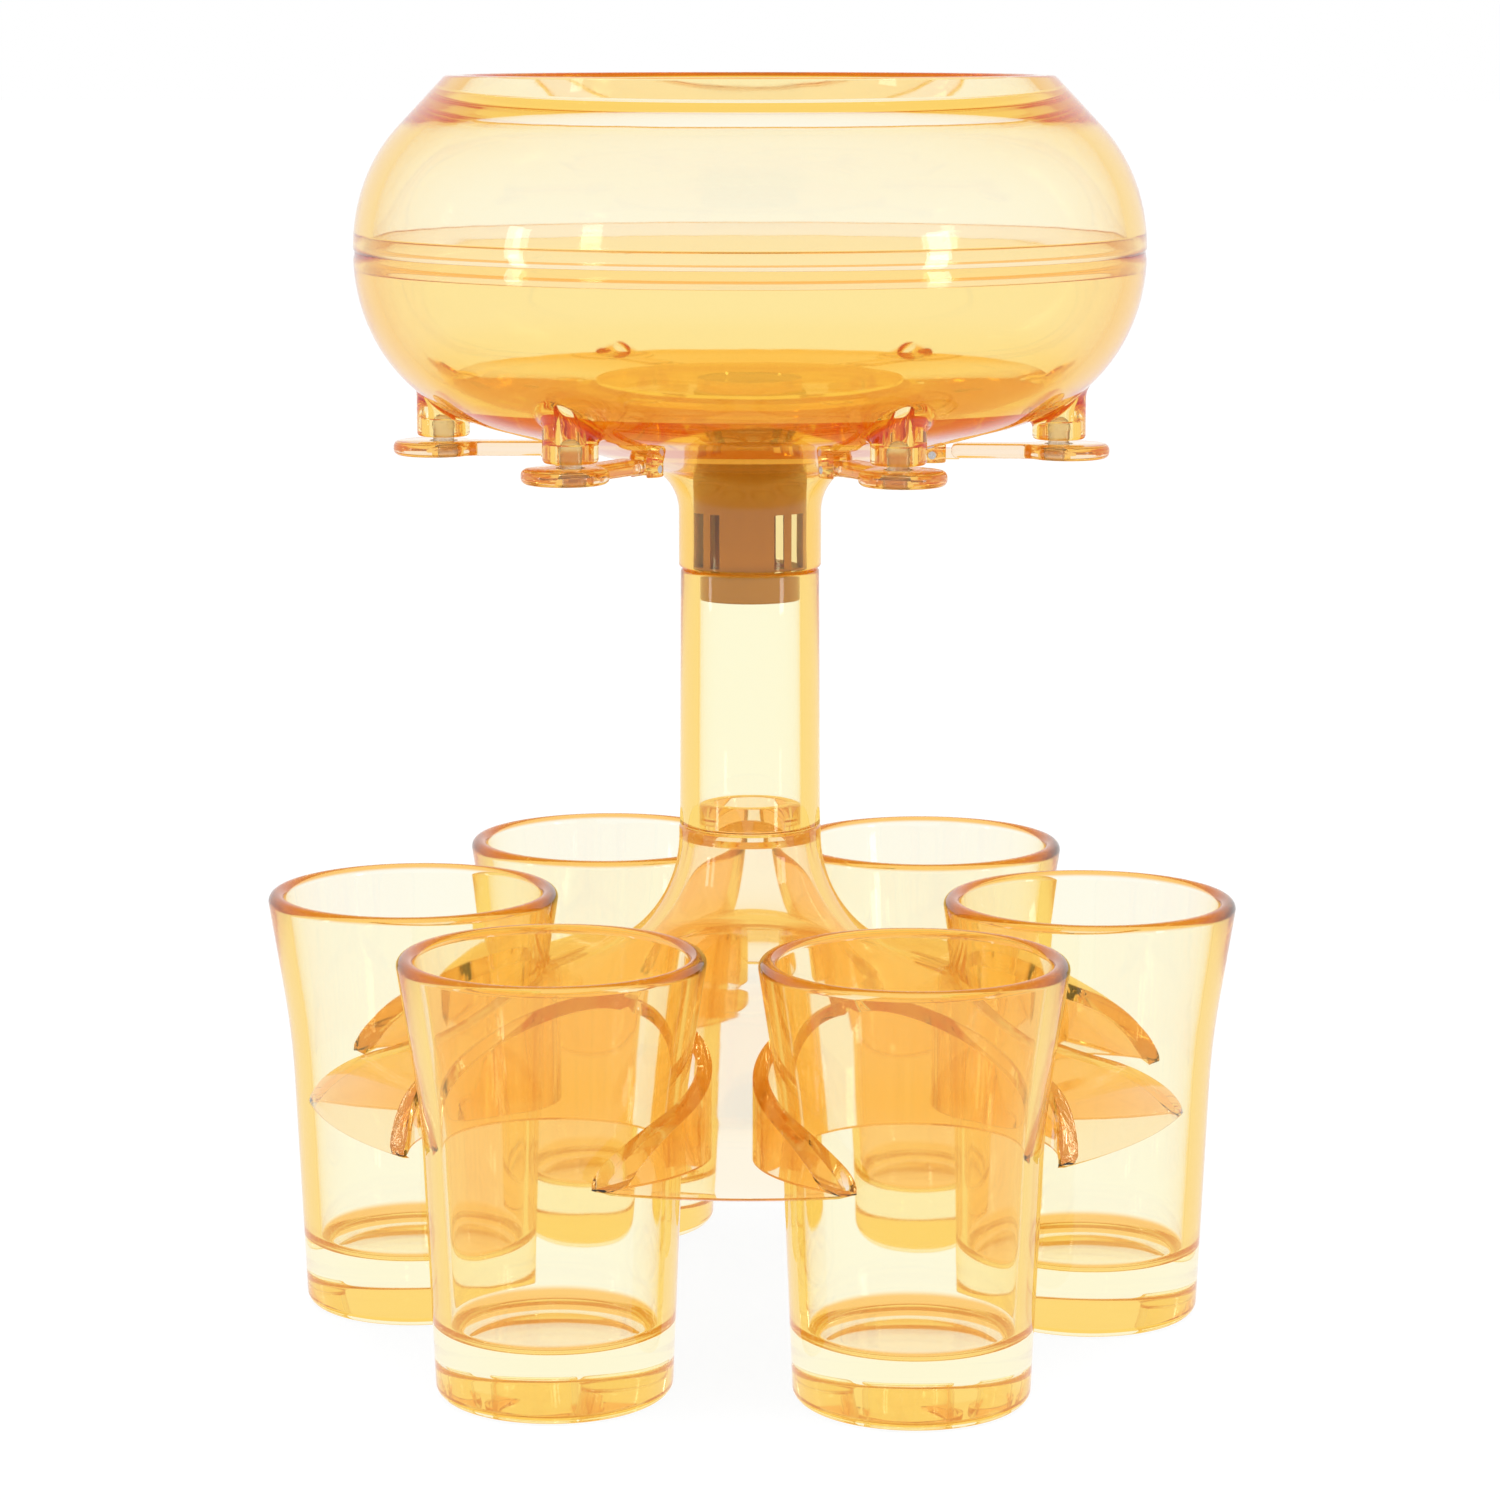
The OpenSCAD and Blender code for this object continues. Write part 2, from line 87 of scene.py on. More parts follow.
BOWL_R = 59.9
BOWL_ROUND_W = 27.3
BOWL_ROUND_H = 27.0
BOWL_ROUND_P = 2.1
SEAM_Z = 165.0
BOWL_RIM_Z = 191.2
BOWL_RIM_R = 45.8
BOWL_RIM_FACE = 3.9
BOWL_RIM_ROUND = 1.1
SHOULDER_TURN = 45          # where the round section turns into the cone to the rim, in degrees
LIP_H = 4.8
LIP_DRAFT = 25.0
LIP_TURN = 58               # where the lip meets the round section inside, in degrees
LIP_ROUND = 1.2
BOWL_WALL = 2.9
FLOOR_Z = 144.4
FLOOR_T = 3.6
UNDERSIDE_TURN = -75.0      # where the round section turns into the cone to the neck
UNDERSIDE_SLOPE = 15.0
NECK_R = 10.9
NECK_FILLET = 7.5
NECK_FOOT_Z = 116.8
NECK_FOOT_ROUND = 0.5
NECK_BORE_R = 8.73
NECK_BORE_ROUND = 0.3
HOLLOW_R = 23.5
REST_BOSS_R = 8.05
BAND_H = 5.1
BAND_T = 1.4
BAND_GAP = 0.04
BAND_ROUND = 0.2
SEAM_CHAMFER = 0.25         # at the outer edge of both shells

SLEEVE_R = 8.65
SLEEVE_FOOT_Z = 116.5
SLEEVE_TOP_Z = 138.6
SLEEVE_BORE_R = 5.6
SLEEVE_END = 2.6
SLEEVE_SPIGOT_R = 7.74
SLEEVE_SPIGOT_LEN = 4.6
SLOT_FOOT_Z = 117.3
SLOT_H = 8.3
SLOTS = ((4.5, 1.3), (6.8, 1.4))     # distance from the middle, and width

SPOUT_RING_R = 47.0
SPOUT_R = 4.05
SPOUT_EDGE = 0.6
SPOUT_FOOT = 0.8            # this much of a spout is level, and the rest follows the bowl's slope
SPOUT_FILLET = 1.5
SPOUT_Z = 136.6
SPOUT_BORE_R = 2.2
SEAT_H = 2.75
SEAT_CHAMFER = 0.15
PORT_R = 1.5
PLUG_HEAD_R = 1.75
PLUG_TOP_Z = 140.1
PLUG_NECK_R = 1.6
PLUG_BUTTON_R = 2.15
PLUG_BUTTON_H = 0.7
PLUG_ROUND = 0.18
PLUG_GAP = 0.03

LEVER_T = 2.2
LEVER_TOP_Z = 135.9
PADDLE_R = 6.4
PADDLE_X = 48.3
PADDLE_ROUND = 0.9
ARM_W = 5.0
ARM_FILLET = 2.0
ARM_END_ROUND = 1.4
ARM_END_GAP = 0.4           # between the arm's end and the boss that it turns in
HINGE_RING_R = 27.8
PIN_Z = 134.2
PIN_R = 0.6
PIN_GAP = 0.06
PIN_FIT = 0.02
KNUCKLE_R = 1.0
KNUCKLE_W = 2.4
KNUCKLE_GAP = 0.2
BOSS_R = 2.5
BOSS_UNDER_PIN = 0.6
BOSS_SLOT_H = 3.2

SEAM_GAP = 0.03             # thin film of air between pieces that rest on each other
ROOT = 0.6                  # how far a boss runs on into the bowl's underside
SPOUT_ROOT = 1.2            # and a spout
FILLET_ROOT = 0.25          # and the edge of a spout's fillet
MERGE = 0.001               # points closer than this are one
FINE = 2.0                  # degrees between points on a rounded outline
MEDIUM = 3.0                # the same on the holder's and the neck's sweeps
COARSE = 6.0                # the same on small roundings
AROUND = 240                # steps round the bowl, holder and stem
AROUND_CUP = 160
AROUND_SLEEVE = 144
AROUND_SPOUT = 72
AROUND_SMALL = 48
AROUND_HOLE = 32
NOTCH_STEPS = 60            # points along one side of a notch
LOBE_COLUMNS = 24           # points across a lobe
SHARP = 32                  # an edge that bends more than this, in degrees, is shown sharp


# ---- camera: it stands a little to the right of the front and looks down at the bowl
CAMERA_SIDE = 3.204
CAMERA_AWAY = 640.69
CAMERA_Z = 197.26
CAMERA_PITCH = -9.6626
CAMERA_LENS = 100.96

camera_data = bpy.data.cameras.new("camera")
camera_data.lens = CAMERA_LENS
camera_data.sensor_width = 36
camera_data.clip_start = 0.01
camera_data.clip_end = 50
camera = bpy.data.objects.new("camera", camera_data)
bpy.context.scene.collection.objects.link(camera)
camera.location = (
    CAMERA_AWAY * math.sin(math.radians(CAMERA_SIDE)) * MM,
    -CAMERA_AWAY * math.cos(math.radians(CAMERA_SIDE)) * MM,
    CAMERA_Z * MM,
)
camera.rotation_euler = (math.radians(90 + CAMERA_PITCH), 0, math.radians(CAMERA_SIDE))
bpy.context.scene.camera = camera


# ---- outlines: lists of (radius, height)
def arc(centre, radius, start, end, step=FINE):
    """Points on a circle from one angle to another, in degrees."""
    count = max(2, math.ceil(abs(end - start) / step))
    turns = [math.radians(start + (end - start) * i / count) for i in range(count + 1)]
    return [(centre[0] + radius * math.cos(t), centre[1] + radius * math.sin(t)) for t in turns]


def steps(low, high, count):
    """Even steps from low to high, both ends among them."""
    return [low + (high - low) * i / count for i in range(count + 1)]


def rounded(corners, closed=True, segments=6):
    """Outline through (x, y, radius) corners, with each corner rounded to its radius."""
    outline = []
    last = len(corners) - 1
    for i, (x, y, radius) in enumerate(corners):
        here = Vector((x, y))
        if radius == 0 or (not closed and i in (0, last)):
            outline.append((x, y))
            continue
        before = (Vector(corners[i - 1][:2]) - here).normalized()
        after = (Vector(corners[(i + 1) % len(corners)][:2]) - here).normalized()
        half = before.angle(after) / 2
        centre = here + (before + after).normalized() * radius / math.sin(half)
        start = here + before * radius / math.tan(half) - centre
        end = here + after * radius / math.tan(half) - centre
        for t in steps(0, 1, segments):
            spoke = start.lerp(end, t).normalized() * radius
            outline.append(tuple(centre + spoke))
    return outline


def bowl_section(turn, depth):
    """Point of the bowl's round section at an angle, on the surface moved inwards by depth."""
    def squared_off(x):
        return math.copysign(abs(x) ** (2 / BOWL_ROUND_P), x)

    across = squared_off(math.cos(math.radians(turn)))
    up = squared_off(math.sin(math.radians(turn)))
    return (
        BOWL_R - BOWL_ROUND_W + (BOWL_ROUND_W - depth) * across,
        SEAM_Z + (BOWL_ROUND_H - depth) * up,
    )


def bowl_arc(start, end, depth):
    count = math.ceil(abs(end - start) / FINE)
    return [bowl_section(t, depth) for t in steps(start, end, count)]


def bowl_turn(z, depth):
    """Angle at which the round section is at height z."""
    share = (z - SEAM_Z) / (BOWL_ROUND_H - depth)
    return math.degrees(math.copysign(math.asin(abs(share) ** (BOWL_ROUND_P / 2)), share))


def bowl_under_z(radius):
    """Height of the bowl's underside at a distance from the centre line."""
    share = (radius - (BOWL_R - BOWL_ROUND_W)) / BOWL_ROUND_W
    return SEAM_Z - BOWL_ROUND_H * (1 - abs(share) ** BOWL_ROUND_P) ** (1 / BOWL_ROUND_P)


def cup_radius(z):
    """Outer radius of a cup: a drafted wall that bends out and runs on straight."""
    slope = math.tan(math.radians(CUP_DRAFT))
    flare = math.tan(math.radians(CUP_FLARE)) - slope
    radius = CUP_FOOT_R + slope * z
    if z > CUP_FLARE_Z + CUP_FLARE_LEN:
        radius += flare * (z - CUP_FLARE_Z - CUP_FLARE_LEN / 2)
    elif z > CUP_FLARE_Z:
        radius += flare * (z - CUP_FLARE_Z) ** 2 / (2 * CUP_FLARE_LEN)
    return radius


# ---- mesh making
def in_order(bm):
    """The mesh with its points, edges and faces in order of place, the same on every run."""
    keys = (
        (bm.verts, lambda v: tuple(v.co)),
        (bm.edges, lambda e: sorted(v.index for v in e.verts)),
        (bm.faces, lambda f: sorted(v.index for v in f.verts)),
    )
    for items, key in keys:
        rank = {item: i for i, item in enumerate(sorted(items, key=key))}
        items.sort(key=rank.get)
        items.index_update()
    return bm


def spun(outline, around=AROUND, closed=True):
    """A mesh turned from an outline round the Z axis. An open outline starts and ends on it."""
    bm = bmesh.new()
    verts = [bm.verts.new((r * MM, 0, z * MM)) for r, z in outline]
    edges = [bm.edges.new(pair) for pair in zip(verts, verts[1:])]
    if closed:
        edges.append(bm.edges.new((verts[-1], verts[0])))
    bmesh.ops.spin(bm, geom=verts + edges, cent=(0, 0, 0), axis=(0, 0, 1),
                   angle=math.tau, steps=around, use_merge=True)
    bmesh.ops.remove_doubles(bm, verts=in_order(bm).verts, dist=MERGE * MM)
    bmesh.ops.recalc_face_normals(bm, faces=bm.faces)
    return bm


def plate(outline, low, high, edge, segments=4):
    """A flat plate with a plan outline, from height low to high, with rounded edges."""
    bm = bmesh.new()
    face = bm.faces.new([bm.verts.new((x * MM, y * MM, low * MM)) for x, y in outline])
    raised = bmesh.ops.extrude_face_region(bm, geom=[face])["geom"]
    bmesh.ops.translate(bm, vec=(0, 0, (high - low) * MM),
                        verts=[v for v in raised if isinstance(v, bmesh.types.BMVert)])
    bmesh.ops.recalc_face_normals(bm, faces=bm.faces)
    flat_edges = [e for e in bm.edges if abs(e.verts[0].co.z - e.verts[1].co.z) < MERGE * MM]
    if edge > 0:
        bmesh.ops.bevel(bm, geom=flat_edges, offset=edge * MM, segments=segments,
                        profile=0.5, affect="EDGES", material=-1)
    return bm


def block(size, centre):
    """A box of a size round a centre."""
    bm = bmesh.new()
    bmesh.ops.create_cube(bm, size=1)
    bmesh.ops.scale(bm, vec=Vector(size) * MM, verts=bm.verts)
    bmesh.ops.translate(bm, vec=Vector(centre) * MM, verts=bm.verts)
    return bm


def rod(radius, length, centre, around=AROUND_HOLE):
    """A round bar along Y."""
    bm = bmesh.new()
    bmesh.ops.create_cone(bm, cap_ends=True, segments=around, radius1=radius * MM,
                          radius2=radius * MM, depth=length * MM)
    bmesh.ops.rotate(bm, verts=bm.verts, cent=(0, 0, 0),
                     matrix=Matrix.Rotation(math.radians(90), 3, "X"))
    bmesh.ops.translate(bm, vec=Vector(centre) * MM, verts=bm.verts)
    return bm


def moved_out(bm, x):
    """The mesh moved from the centre line to a distance from it."""
    bmesh.ops.translate(bm, vec=Vector((x, 0, 0)) * MM, verts=bm.verts)
    return bm


def station_turn(k):
    """Angle of a cup's place round the stem."""
    return math.radians(FIRST_STATION + STATION_STEP * (k - 1))


def turned(bm, turn):
    """The mesh turned about the stem."""
    bmesh.ops.rotate(bm, verts=bm.verts, cent=(0, 0, 0), matrix=Matrix.Rotation(turn, 3, "Z"))
    return bm


def as_mesh(bm, name):
    mesh = bpy.data.meshes.new(name)
    in_order(bm).to_mesh(mesh)
    bm.free()
    return mesh


def gathered(parts):
    """One mesh of several that don't touch."""
    whole = bmesh.new()
    for bm in parts:
        mesh = as_mesh(bm, "part")
        whole.from_mesh(mesh)
        bpy.data.meshes.remove(mesh)
    return whole


def at_stations(make):
    """Six of a mesh, one over each cup."""
    return gathered(turned(make(), station_turn(k)) for k in STATIONS)


def joined(bm, other, operation):
    """The mesh after other is added to it (UNION) or cut from it (DIFFERENCE)."""
    first = bpy.data.objects.new("first", as_mesh(bm, "first"))
    second = bpy.data.objects.new("second", as_mesh(other, "second"))
    for o in (first, second):
        bpy.context.scene.collection.objects.link(o)
    cut = first.modifiers.new("cut", "BOOLEAN")
    cut.operation = operation
    cut.solver = "EXACT"
    cut.object = second
    result = bmesh.new()
    graph = bpy.context.evaluated_depsgraph_get()
    result.from_object(first, graph)
    for o in (first, second):
        mesh = o.data
        bpy.data.objects.remove(o)
        bpy.data.meshes.remove(mesh)
    bmesh.ops.remove_doubles(result, verts=in_order(result).verts, dist=2 * MERGE * MM)
    bmesh.ops.dissolve_degenerate(result, edges=result.edges, dist=MERGE * MM)
    return result


def piece(name, bm, body, node, material):
    """A finished piece that rides on a body, and stands for a CAD node."""
    mesh = as_mesh(bm, name)
    mesh.shade_smooth()
    mesh.set_sharp_from_angle(angle=math.radians(SHARP))
    mesh.materials.append(material)
    obj = bpy.data.objects.new(name, mesh)
    bpy.context.scene.collection.objects.link(obj)
    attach(obj, body)
    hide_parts(node)
    return obj


# ---- materials
def colour(code):
    """Linear colour of an sRGB hex value."""
    parts = [int(code[i:i + 2], 16) / 255 for i in (1, 3, 5)]
    line = [c / 12.92 if c <= 0.04045 else ((c + 0.055) / 1.055) ** 2.4 for c in parts]
    return (*line, 1)


def add(tree, kind, settings=(), **inputs):
    """A node with its settings. Each input is a value, or the socket that it is linked to.

    An input is given by its name, or as _0, _1 and so on where names repeat.
    """
    node = tree.nodes.new(kind)
    for key, value in dict(settings).items():
        setattr(node, key, value)
    for key, value in inputs.items():
        place = int(key[1:]) if key[0] == "_" else key.replace("_", " ")
        socket = node.inputs[place]
        if isinstance(value, bpy.types.NodeSocket):
            tree.links.new(value, socket)
        else:
            socket.default_value = value
    return node


def new_material(name):
    """An empty material, and its nodes."""
    material = bpy.data.materials.new(name)
    material.use_nodes = True
    material.node_tree.nodes.clear()
    return material, material.node_tree


def moulded_texture(tree, wave_mm, wave_height, grain_mm, low, high):
    """Roughness and surface normal of a moulding: slow waves of flow, and a finer grain."""
    place = add(tree, "ShaderNodeTexCoord").outputs["Object"]
    wave = add(tree, "ShaderNodeTexNoise", Vector=place, Scale=1 / (wave_mm * MM), Detail=1.0)
    grain = add(tree, "ShaderNodeTexNoise", Vector=place, Scale=1 / (grain_mm * MM), Detail=3.0)
    rough = add(tree, "ShaderNodeMapRange", Value=grain.outputs["Fac"], From_Min=0.3,
                From_Max=0.7, To_Min=low, To_Max=high)
    bump = add(tree, "ShaderNodeBump", Strength=1.0, Distance=wave_height * MM,
               Height=wave.outputs["Fac"])
    return rough.outputs["Result"], bump.outputs["Normal"]


def clear_amber(name, tint, melt, density):
    # Injection-moulded styrene-acrylonitrile, dyed amber in the melt: a glassy surface with
    # faint flow waves, and a tint that deepens from straw to orange with the way through it.
    material, tree = new_material(name)
    rough, normal = moulded_texture(tree, 9, 0.02, 2.5, 0.015, 0.045)
    surface = add(tree, "ShaderNodeBsdfPrincipled", Base_Color=colour(tint), Roughness=rough,
                  IOR=1.53, Transmission_Weight=1.0, Normal=normal)
    depth = add(tree, "ShaderNodeVolumeAbsorption", Color=colour(melt), Density=density)
    add(tree, "ShaderNodeOutputMaterial", Surface=surface.outputs["BSDF"],
        Volume=depth.outputs["Volume"])
    return material


def brown_plastic():
    # Injection-moulded polypropylene, dyed caramel brown: opaque and satin, with broad soft
    # highlights.
    material, tree = new_material("brown_polypropylene")
    rough, normal = moulded_texture(tree, 6, 0.01, 0.8, 0.34, 0.46)
    surface = add(tree, "ShaderNodeBsdfPrincipled", Base_Color=colour("#EC9628"),
                  Roughness=rough, IOR=1.49, Normal=normal)
    add(tree, "ShaderNodeOutputMaterial", Surface=surface.outputs["BSDF"])
    return material


def silicone():
    # Moulded silicone rubber without a dye: translucent and milky, with a dull sheen, so it
    # takes on the amber of the spout round it.
    material, tree = new_material("milky_silicone")
    rough, normal = moulded_texture(tree, 4, 0.01, 0.5, 0.3, 0.42)
    surface = add(tree, "ShaderNodeBsdfPrincipled", Base_Color=colour("#FFF4EE"),
                  Roughness=rough, IOR=1.41, Transmission_Weight=0.88, Subsurface_Weight=0.3,
                  Normal=normal)
    surface.inputs["Subsurface Radius"].default_value = (0.002, 0.0015, 0.0012)
    surface.inputs["Subsurface Scale"].default_value = 1.0
    add(tree, "ShaderNodeOutputMaterial", Surface=surface.outputs["BSDF"])
    return material


def pin_steel():
    # Drawn stainless wire, cut to length: bright, with a faint grain.
    material, tree = new_material("drawn_stainless_steel")
    rough, normal = moulded_texture(tree, 1.5, 0.002, 0.3, 0.2, 0.32)
    surface = add(tree, "ShaderNodeBsdfPrincipled", Base_Color=colour("#C9C9CC"),
                  Roughness=rough, Metallic=1.0, Normal=normal)
    add(tree, "ShaderNodeOutputMaterial", Surface=surface.outputs["BSDF"])
    return material


# The first colour is what one wall keeps, the second what is left of a long way through the
# plastic, and the density is absorption per metre
bowl_amber = clear_amber("clear_amber_bowl", "#FFFFFC", "#FFF200", 34.0)
deep_bowl_amber = clear_amber("deep_amber_bowl", "#FFF6D2", "#FEE600", 36.0)
stem_amber = clear_amber("clear_amber_stem", "#FFFFF0", "#FFEC00", 8.0)
holder_amber = clear_amber("clear_amber_holder", "#FFFAEC", "#FFE000", 16.0)
cup_amber = clear_amber("clear_amber_cup", "#FFFFF2", "#FFEC00", 8.0)
lever_amber = clear_amber("clear_amber_lever", "#FFEEDA", "#FEE000", 16.0)
brown = brown_plastic()
rubber = silicone()
steel = pin_steel()


# ---- bowl
def bowl_upper():
    lip_r = BOWL_RIM_R - BOWL_RIM_FACE
    groove_r = BOWL_R - BOWL_WALL + BAND_T + BAND_GAP
    groove_z = SEAM_Z + BAND_H / 2 + BAND_GAP
    lip_foot_r = lip_r + LIP_H * math.tan(math.radians(LIP_DRAFT))
    shoulder = bowl_arc(1, SHOULDER_TURN, 0)
    inside = bowl_arc(LIP_TURN, bowl_turn(groove_z, BOWL_WALL), BOWL_WALL)
    rim = rounded([
        (*shoulder[-1], 0),
        (BOWL_RIM_R, BOWL_RIM_Z, BOWL_RIM_ROUND),
        (lip_r, BOWL_RIM_Z, BOWL_RIM_ROUND),
        (lip_foot_r, BOWL_RIM_Z - LIP_H, LIP_ROUND),
        (*inside[0], 0),
    ], closed=False)
    seam = [(groove_r, SEAM_Z + SEAM_GAP), (BOWL_R - SEAM_CHAMFER, SEAM_Z + SEAM_GAP)]
    return spun(seam + shoulder[:-1] + rim + inside[1:] + [(groove_r, groove_z)])


def spout():
    """A spout that runs out into the bowl's underside with a fillet."""
    base_z = bowl_under_z(SPOUT_RING_R)
    root_z = base_z + SPOUT_ROOT
    fillet_r = SPOUT_R + SPOUT_FILLET
    fillet_z = base_z - SPOUT_FILLET
    outline = rounded([(0, SPOUT_Z, 0), (SPOUT_R, SPOUT_Z, SPOUT_EDGE), (SPOUT_R, fillet_z, 0)],
                      closed=False)
    outline[-1:] = [(SPOUT_R, z) for z in steps(SPOUT_Z + 1, fillet_z, 4)[1:]]
    outline += arc((fillet_r, fillet_z), SPOUT_FILLET, 180, 92, 11)
    outline += [(fillet_r, base_z + FILLET_ROOT), (SPOUT_R, root_z), (0, root_z)]
    bm = spun(outline, around=AROUND_SPOUT, closed=False)
    low = (SPOUT_Z + SPOUT_FOOT) * MM
    high = fillet_z * MM
    for v in bm.verts:
        share = min(1, max(0, (v.co.z - low) / (high - low)))
        ring = math.hypot(SPOUT_RING_R + v.co.x / MM, v.co.y / MM)
        v.co.z += share * share * (3 - 2 * share) * (bowl_under_z(ring) - base_z) * MM
    return moved_out(bm, SPOUT_RING_R)


def hinge_boss():
    """A round boss with a slot for the lever's knuckle and a hole for the pin."""
    foot_z = PIN_Z - PIN_R - PIN_FIT - BOSS_UNDER_PIN
    top_z = bowl_under_z(BOWL_R - BOWL_ROUND_W) + ROOT
    outline = rounded([(0, foot_z, 0), (BOSS_R, foot_z, 0.3), (BOSS_R, top_z, 0), (0, top_z, 0)],
                      closed=False)
    bm = spun(outline, around=AROUND_SMALL, closed=False)
    below = 0.8
    slot = (2 * BOSS_R, KNUCKLE_W + 2 * KNUCKLE_GAP, BOSS_SLOT_H + below)
    middle = (BOSS_R - KNUCKLE_R - KNUCKLE_GAP, 0, foot_z + (BOSS_SLOT_H - below) / 2)
    bm = joined(bm, block(slot, middle), "DIFFERENCE")
    bm = joined(bm, rod(PIN_R + PIN_FIT, 4 * BOSS_R, (0, 0, PIN_Z)), "DIFFERENCE")
    return moved_out(bm, HINGE_RING_R)


def spout_bore():
    """The way from the bowl through a spout: a port, a tapered seat and a wider bore."""
    foot_z = SPOUT_Z - 1
    seat_z = SPOUT_Z + SEAT_H
    top_z = FLOOR_Z + 4
    outline = [(0, foot_z), (SPOUT_BORE_R, foot_z), (SPOUT_BORE_R, seat_z - SEAT_CHAMFER),
               (SPOUT_BORE_R - SEAT_CHAMFER, seat_z), (PORT_R, seat_z), (PORT_R, top_z),
               (0, top_z)]
    return moved_out(spun(outline, around=AROUND_SMALL, closed=False), SPOUT_RING_R)


def bowl_lower():
    groove_r = BOWL_R - BOWL_WALL + BAND_T + BAND_GAP
    groove_z = SEAM_Z - BAND_H / 2 - BAND_GAP
    inside = bowl_arc(bowl_turn(FLOOR_Z, BOWL_WALL), bowl_turn(groove_z, BOWL_WALL), BOWL_WALL)
    outside = bowl_arc(0, UNDERSIDE_TURN, 0)
    slope = math.radians(UNDERSIDE_SLOPE)
    under_r, under_z = outside[-1]
    fillet_r = NECK_R + NECK_FILLET * (1 - math.sin(slope))
    fillet_z = under_z - (under_r - fillet_r) * math.tan(slope)
    fillet_c = (NECK_R + NECK_FILLET, fillet_z - NECK_FILLET * math.cos(slope))
    wall = NECK_R - NECK_BORE_R
    hollow_x = fillet_c[0] - (NECK_FILLET + wall) * math.sin(slope)
    hollow_z = fillet_c[1] + (NECK_FILLET + wall) * math.cos(slope)
    hollow_top = FLOOR_Z - FLOOR_T
    neck_end = NECK_FOOT_Z + 3
    outline = [(0, FLOOR_Z), *inside, (groove_r, groove_z), (groove_r, SEAM_Z),
               (BOWL_R - SEAM_CHAMFER, SEAM_Z), *outside[1:],
               *arc(fillet_c, NECK_FILLET, 90 + UNDERSIDE_SLOPE, 180, MEDIUM)]
    outline += rounded([
        (NECK_R, neck_end, 0),
        (NECK_R, NECK_FOOT_Z, NECK_FOOT_ROUND),
        (NECK_BORE_R, NECK_FOOT_Z, NECK_BORE_ROUND),
        (NECK_BORE_R, neck_end, 0),
    ], closed=False)
    outline += arc(fillet_c, NECK_FILLET + wall, 180, 90 + UNDERSIDE_SLOPE, MEDIUM)
    outline += [(HOLLOW_R, hollow_z + (HOLLOW_R - hollow_x) * math.tan(slope)),
                (HOLLOW_R, hollow_top), (REST_BOSS_R, hollow_top),
                (REST_BOSS_R, SLEEVE_TOP_Z), (0, SLEEVE_TOP_Z)]
    bm = spun(outline, closed=False)
    bm = joined(bm, at_stations(spout), "UNION")
    bm = joined(bm, at_stations(hinge_boss), "UNION")
    return joined(bm, at_stations(spout_bore), "DIFFERENCE")


def seam_band():
    inner = BOWL_R - BOWL_WALL
    low, high = SEAM_Z - BAND_H / 2, SEAM_Z + BAND_H / 2
    corners = [(inner, low), (inner + BAND_T, low), (inner + BAND_T, high), (inner, high)]
    return spun(rounded([(r, z, BAND_ROUND) for r, z in corners], segments=3))


piece("bowl_top", bowl_upper(), "bowl", "bowl_upper_shell", bowl_amber)
piece("bowl_bottom", bowl_lower(), "bowl", "bowl_lower_shell",
      deep_bowl_amber)
piece("seam_band", seam_band(), "bowl", "bowl_joint_ring", bowl_amber)


# ---- connector and stem
def connector():
    foot = SLEEVE_FOOT_Z + SEAM_GAP
    top = SLEEVE_TOP_Z - SEAM_GAP
    spigot_z = SLEEVE_FOOT_Z - SLEEVE_SPIGOT_LEN
    outline = rounded([
        (0, top, 0), (SLEEVE_R, top, 0.5), (SLEEVE_R, foot, 0.25), (SLEEVE_SPIGOT_R, foot, 0),
        (SLEEVE_SPIGOT_R, spigot_z, 0.4), (SLEEVE_BORE_R, spigot_z, 0.3),
        (SLEEVE_BORE_R, top - SLEEVE_END, 0.8), (0, top - SLEEVE_END, 0),
    ], closed=False)
    bm = spun(outline, around=AROUND_SLEEVE, closed=False)
    slot_z = SLOT_FOOT_Z + SLOT_H / 2
    bars = [block((width, 2 * SLEEVE_R + 2, SLOT_H), (side * x, 0, slot_z))
            for x, width in SLOTS for side in (-1, 1)]
    return joined(bm, gathered(bars), "DIFFERENCE")


def stem():
    foot = HUB_TOP_Z + SEAM_GAP
    top = HUB_TOP_Z + STEM_LEN
    return spun(rounded([
        (STEM_FOOT_R, foot, 0.25), (STEM_TOP_R, top, 0.4),
        (STEM_BORE_R, top, 0.2), (STEM_BORE_R, foot, 0.2),
    ]))


piece("neck_sleeve", connector(), "coupling", "neck_connector", brown)
piece("stem", stem(), "stand", "stem_tube", stem_amber)


# ---- cup holder: one sixth of the trumpet is a sheet between two notches, turned six times
def trumpet_outline():
    """The trumpet's outer surface: the hub's sweep, and the skirt's bend down to the rim."""
    slope = math.radians(SKIRT_SLOPE)
    along = Vector((math.cos(slope), -math.sin(slope)))
    up = Vector((math.sin(slope), math.cos(slope)))
    sweep_c = Vector((HUB_R + HUB_SWEEP_R, HUB_TOP_Z - HUB_LAND))
    start = sweep_c - HUB_SWEEP_R * up
    inner = start - SKIRT_EDGE_R * up
    gap = inner - Vector((RIM_R, RIM_Z))
    run = -gap.dot(along) - math.sqrt(gap.dot(along) ** 2 - gap.dot(gap) + SKIRT_EDGE_R ** 2)
    edge_c = inner + run * along
    rim_turn = math.degrees(math.asin((RIM_Z - edge_c[1]) / SKIRT_EDGE_R))
    return (arc(sweep_c, HUB_SWEEP_R, 180, 270 - SKIRT_SLOPE, MEDIUM),
            arc(edge_c, SKIRT_EDGE_R, 90 - SKIRT_SLOPE, rim_turn, MEDIUM))


